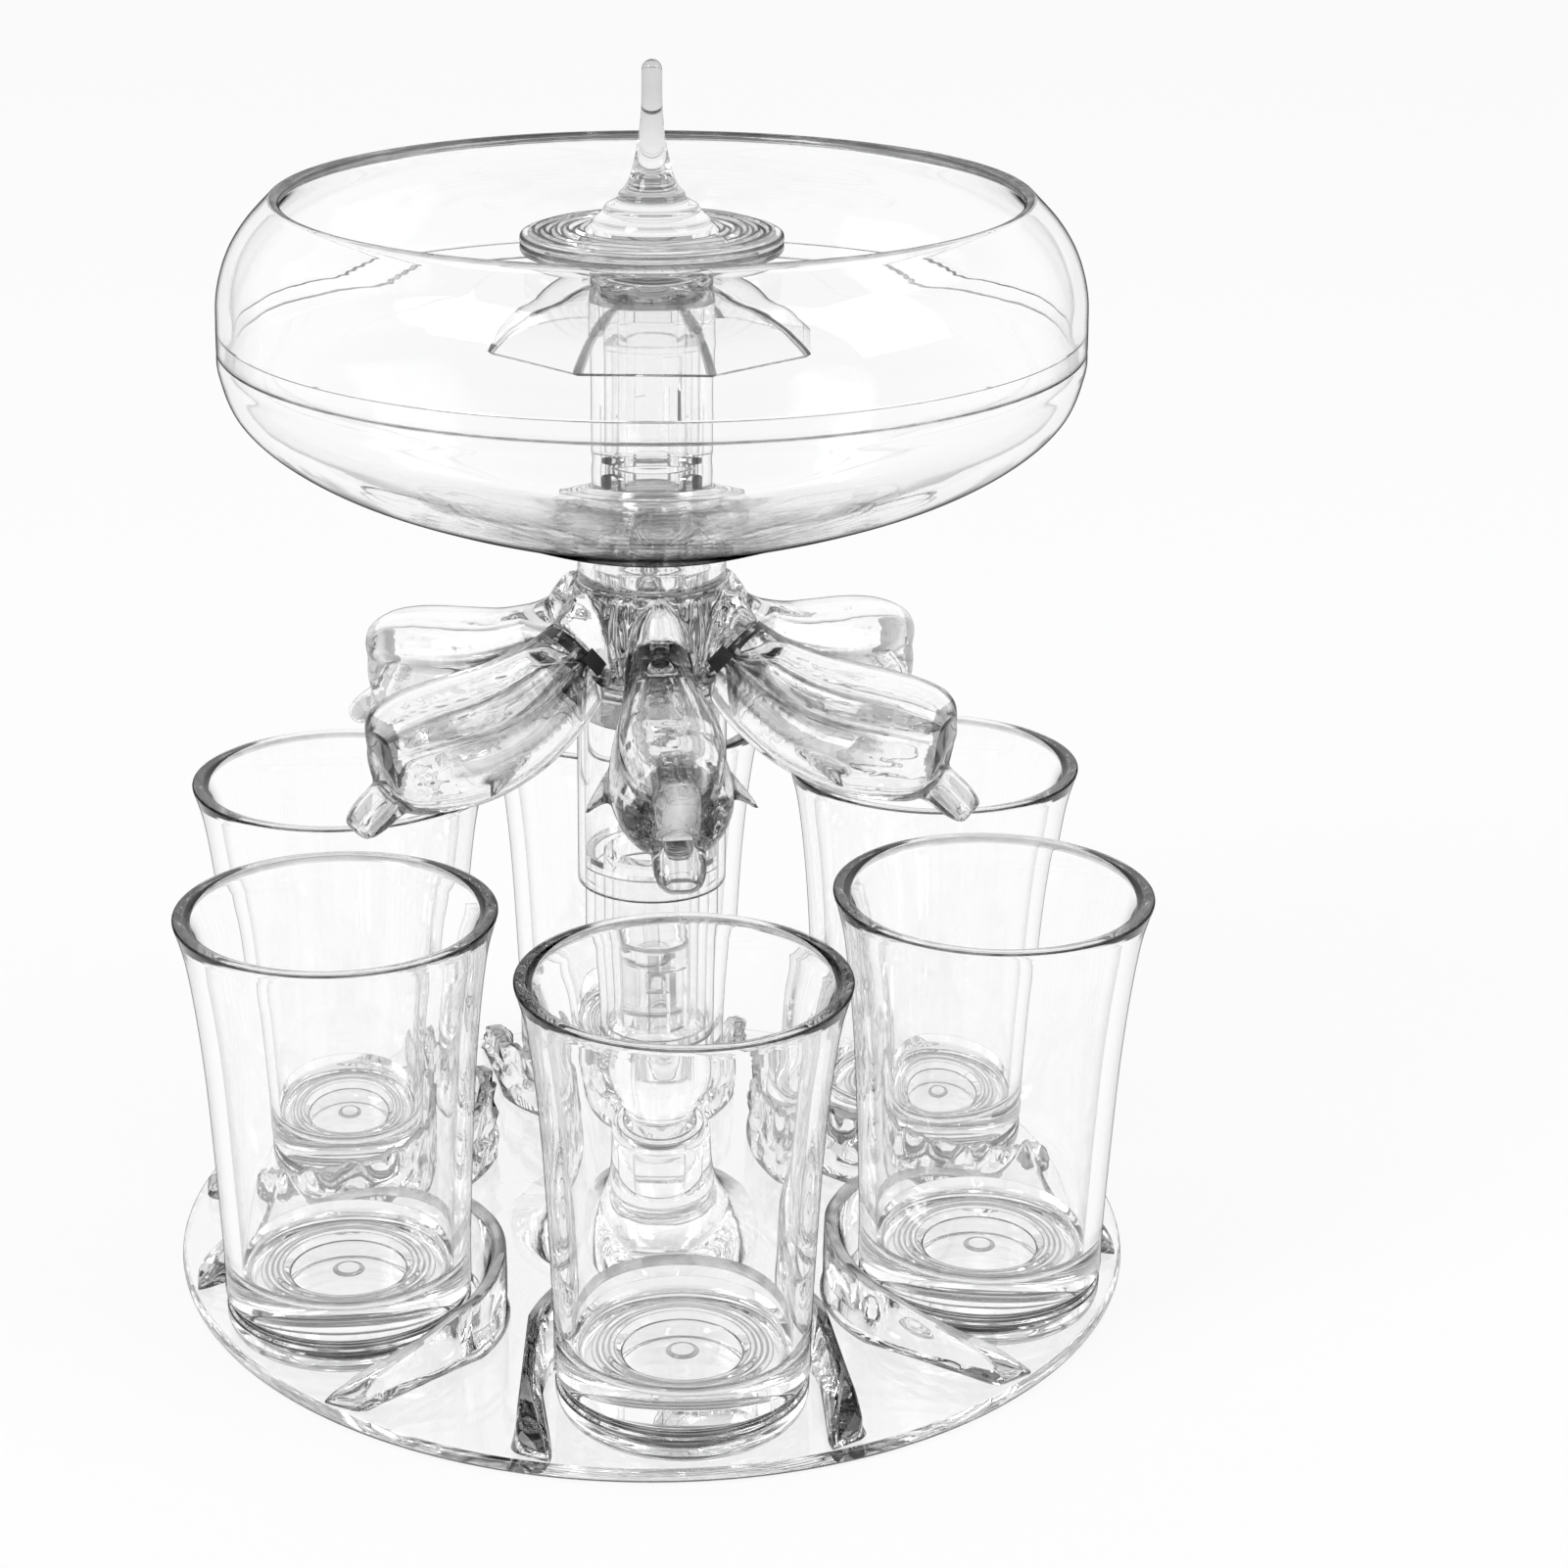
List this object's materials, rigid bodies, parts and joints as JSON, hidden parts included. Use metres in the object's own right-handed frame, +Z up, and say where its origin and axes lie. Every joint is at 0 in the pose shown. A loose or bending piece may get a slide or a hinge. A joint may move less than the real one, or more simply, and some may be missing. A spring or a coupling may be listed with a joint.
{
  "type": "party shot dispenser",
  "caption": "Clear party drink dispenser: a bowl on a column feeds fish-shaped spouts over shot cups standing in curved holders round a tray.",
  "frame": {"origin": "centre of the tray's underside, on the column's axis", "axes": "+Z up along the column, -Y towards the front cup, +X to the right"},
  "size_m": [0.1582, 0.1668, 0.1963],
  "materials": {
    "clear_acrylic": "polished",
    "clear_cup": "polished",
    "dark_silicone": "matte"
  },
  "bodies": {
    "base": {"tray_disc": "clear_acrylic", "pedestal": "clear_acrylic", "cup_holder_1": "clear_acrylic", "cup_holder_2": "clear_acrylic", "cup_holder_3": "clear_acrylic", "cup_holder_4": "clear_acrylic", "cup_holder_5": "clear_acrylic", "cup_holder_6": "clear_acrylic", "column_foot": "clear_acrylic", "lower_tube": "clear_acrylic"},
    "upper": {"lock_sleeve": "clear_acrylic", "outer_tube": "clear_acrylic", "hub_body": "clear_acrylic", "hub_neck": "clear_acrylic", "bowl_collar": "clear_acrylic", "spout_1": "clear_acrylic", "spout_2": "clear_acrylic", "spout_3": "clear_acrylic", "spout_4": "clear_acrylic", "spout_5": "clear_acrylic", "spout_6": "clear_acrylic", "spout_seal_1": "dark_silicone", "spout_seal_2": "dark_silicone", "spout_seal_3": "dark_silicone", "spout_seal_4": "dark_silicone", "spout_seal_5": "dark_silicone", "spout_seal_6": "dark_silicone", "bowl_dish": "clear_acrylic", "bowl_rim_ring": "clear_acrylic", "bowl_flange": "clear_acrylic", "standpipe": "clear_acrylic", "rod_guide": "clear_acrylic"},
    "valve": {"valve_rod": "clear_acrylic", "valve_plug": "clear_acrylic", "valve_seal": "dark_silicone", "umbrella": "clear_acrylic", "splash_knob": "clear_acrylic"},
    "cup_1_body": {"cup_1": "clear_cup"},
    "cup_2_body": {"cup_2": "clear_cup"},
    "cup_3_body": {"cup_3": "clear_cup"},
    "cup_4_body": {"cup_4": "clear_cup"},
    "cup_5_body": {"cup_5": "clear_cup"},
    "cup_6_body": {"cup_6": "clear_cup"}
  },
  "joints": [
    {"name": "twist_lock", "type": "hinge", "parent": "base", "child": "upper", "pos_m": [0, 0, 0.0494], "axis": [0, 0, 1], "range_deg": [-28, 0]},
    {"name": "valve_lift", "type": "slide", "parent": "upper", "child": "valve", "axis": [0, 0, 1], "range_m": [0, 0.008]},
    {"name": "cup_1_take_out", "type": "slide", "parent": "base", "child": "cup_1_body", "axis": [0.0793, -0.9968, 0], "range_m": [0, 0.045]},
    {"name": "cup_2_take_out", "type": "slide", "parent": "base", "child": "cup_2_body", "axis": [0.903, -0.4297, 0], "range_m": [0, 0.045]},
    {"name": "cup_3_take_out", "type": "slide", "parent": "base", "child": "cup_3_body", "axis": [0.8236, 0.5671, 0], "range_m": [0, 0.045]},
    {"name": "cup_4_take_out", "type": "slide", "parent": "base", "child": "cup_4_body", "axis": [-0.0793, 0.9968, 0], "range_m": [0, 0.045]},
    {"name": "cup_5_take_out", "type": "slide", "parent": "base", "child": "cup_5_body", "axis": [-0.903, 0.4297, 0], "range_m": [0, 0.045]},
    {"name": "cup_6_take_out", "type": "slide", "parent": "base", "child": "cup_6_body", "axis": [-0.8236, -0.5671, 0], "range_m": [0, 0.045]}
  ]
}
